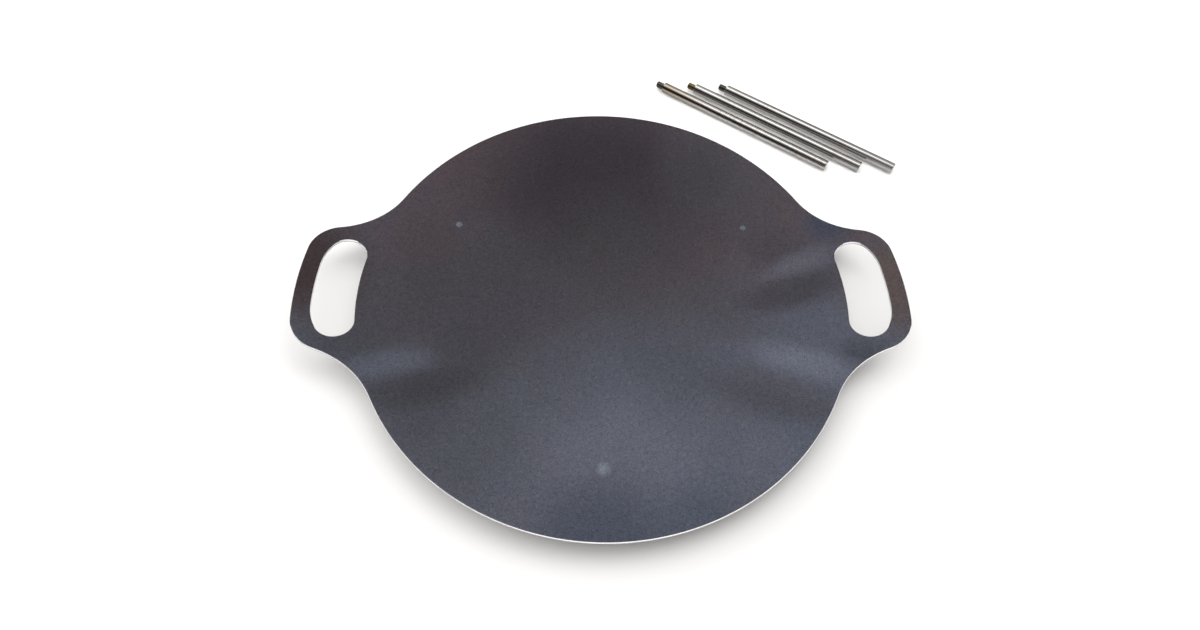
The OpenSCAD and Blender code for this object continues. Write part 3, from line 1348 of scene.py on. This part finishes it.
@dataclass
class Studio:
    """The pale floor, the soft lamps, the surroundings and the camera."""

    eye: Point = (-0.02362, -0.33662, 0.56475)
    pitch: float = 60.175
    yaw: float = 3.573
    roll: float = 3.179
    focal_px: float = 641.59
    picture_w: float = 1200.0
    sensor_mm: float = 36.0
    nearest: float = 0.01
    floor_w: float = 40.0
    floor_sharp: float = 30.0
    floor_colour: Colour = (0.90, 0.90, 0.895)
    floor_roughness: float = 0.9
    floor_lift: Pair = (0.02, 0.62)
    floor_lift_r: Pair = (0.3, 2.0)
    ambient: float = 0.85
    ambient_colour: Colour = (1.0, 0.985, 0.965)
    ambient_patches: tuple[RoomPatch, ...] = (
        RoomPatch((-0.95, -0.10, 0.25), 25.0, 70.0, 1.62),
        RoomPatch((0.95, 0.05, 0.25), 25.0, 65.0, 1.1),
        RoomPatch((0.28, -0.95, 0.12), 40.0, 74.0, 0.0),
    )
    room_light: float = 0.8
    room_patches: tuple[RoomPatch, ...] = (
        RoomPatch((-0.18, 0.78, 0.60), 13.0, 31.0, 1.6),
        RoomPatch((-0.142, 0.160, 0.977), 9.0, 18.5, 3.35),
        RoomPatch((0.38, 0.92, 0.10), 18.0, 31.0, 0.03),
        RoomPatch((-0.64, -0.66, 0.36), 27.0, 40.0, 0.02),
        RoomPatch((0.00, -0.96, 0.22), 24.0, 45.0, 1.5),
    )
    lamps: tuple[SoftBox, ...] = (
        SoftBox("left_box", (-0.55, 0.45, 1.60), (0.0, 0.0, 0.0), 2.0, 12.3),
        SoftBox("right_box", (0.80, 0.45, 1.60), (0.0, 0.0, 0.0), 1.2, 8.0),
        SoftBox("leg_box", (-0.12, -0.15, 0.90), (0.20, 0.25, 0.0), 0.25, 0.11, 28.0),
    )

    def build(self) -> None:
        """Sets the studio up."""
        bpy.context.scene.view_settings.view_transform = "Standard"
        self.build_camera()
        self.build_floor()
        self.build_world()
        for lamp in self.lamps:
            lamp.build()
        LOG.info("studio: %d lamps", len(self.lamps))

    def build_camera(self) -> None:
        """Puts the camera where the photograph was taken."""
        pitch, yaw, roll = (math.radians(a) for a in (self.pitch, self.yaw, self.roll))
        forward = Vector((math.sin(yaw) * math.cos(pitch), math.cos(yaw) * math.cos(pitch), -math.sin(pitch)))
        level = Vector((math.cos(yaw), -math.sin(yaw), 0.0))
        upright = level.cross(forward)
        right = math.cos(roll) * level + math.sin(roll) * upright
        up = math.cos(roll) * upright - math.sin(roll) * level
        turn = Matrix((right, up, -forward)).transposed().to_4x4()
        lens = bpy.data.cameras.new("view")
        lens.sensor_fit = "HORIZONTAL"
        lens.sensor_width = self.sensor_mm
        lens.lens = self.sensor_mm * self.focal_px / self.picture_w
        lens.clip_start = self.nearest
        camera = bpy.data.objects.new("view", lens)
        camera.matrix_world = Matrix.Translation(self.eye) @ turn
        bpy.context.scene.collection.objects.link(camera)
        bpy.context.scene.camera = camera

    def build_floor(self) -> None:
        """Lays the pale floor, which stays white away from shadows."""
        bm = bmesh.new()
        bmesh.ops.create_grid(bm, x_segments=2, y_segments=2, size=self.floor_w / 2)
        material, bench, shader = new_material("floor", 0.0)
        bench.feed(shader["Base Color"], self.floor_colour)
        bench.feed(shader["Roughness"], self.floor_roughness)
        bench.feed(shader["Specular IOR Level"], 0.0)
        bench.feed(shader["Emission Color"], (1.0, 1.0, 1.0))
        path = bench.add("ShaderNodeLightPath").outputs
        seen = bench.math("MAXIMUM", path["Is Camera Ray"], path["Is Glossy Ray"])
        seen = bench.math("MAXIMUM", seen, path["Is Transmission Ray"])
        away = bench.vector_math("LENGTH", bench.place(), (0.0, 0.0, 0.0)).outputs["Value"]
        lift = bench.span(away, *self.floor_lift_r, *self.floor_lift)
        bench.feed(shader["Emission Strength"], bench.math("MULTIPLY", seen, lift))
        floor = finished(bm, "floor", [material], self.floor_sharp)

    def build_world(self) -> None:
        """Surrounds the object with soft light, a room that metal sees, and white behind the picture."""
        world = bpy.data.worlds.new("room")
        world.use_nodes = True
        bpy.context.scene.world = world
        bench = NodeBench(world.node_tree)
        path = bench.add("ShaderNodeLightPath").outputs
        seen = bench.math("MAXIMUM", path["Is Camera Ray"], path["Is Transmission Ray"])
        direction = bench.add("ShaderNodeTexCoord").outputs["Generated"]
        soft = self.ambient
        for patch in self.ambient_patches:
            soft = patch.lay(bench, direction, soft)
        light = self.room_light
        for patch in self.room_patches:
            light = patch.lay(bench, direction, light)
        plain = bench.mix(seen, bench.shaded(self.ambient_colour, soft), (1.0, 1.0, 1.0))
        background = world.node_tree.nodes["Background"]
        bench.feed(background.inputs["Color"], bench.mix(path["Is Glossy Ray"], plain, light))


def main() -> None:
    """Builds the dressed griddle plate and its studio."""
    logging.basicConfig(level=logging.INFO, format="%(name)s %(message)s")
    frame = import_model()
    effects = SharedEffects()
    dish = DishShape()
    Studio().build()
    GriddlePlate(dish, effects).build()
    for nut in NutPlace:
        LegNut(nut, dish, effects, frame["nodes"][f"{nut.name.lower()}_leg_nut"]).build()
    for leg in LegPlace:
        ScrewLeg(leg, effects).build()


if __name__ == "__main__":
    main()
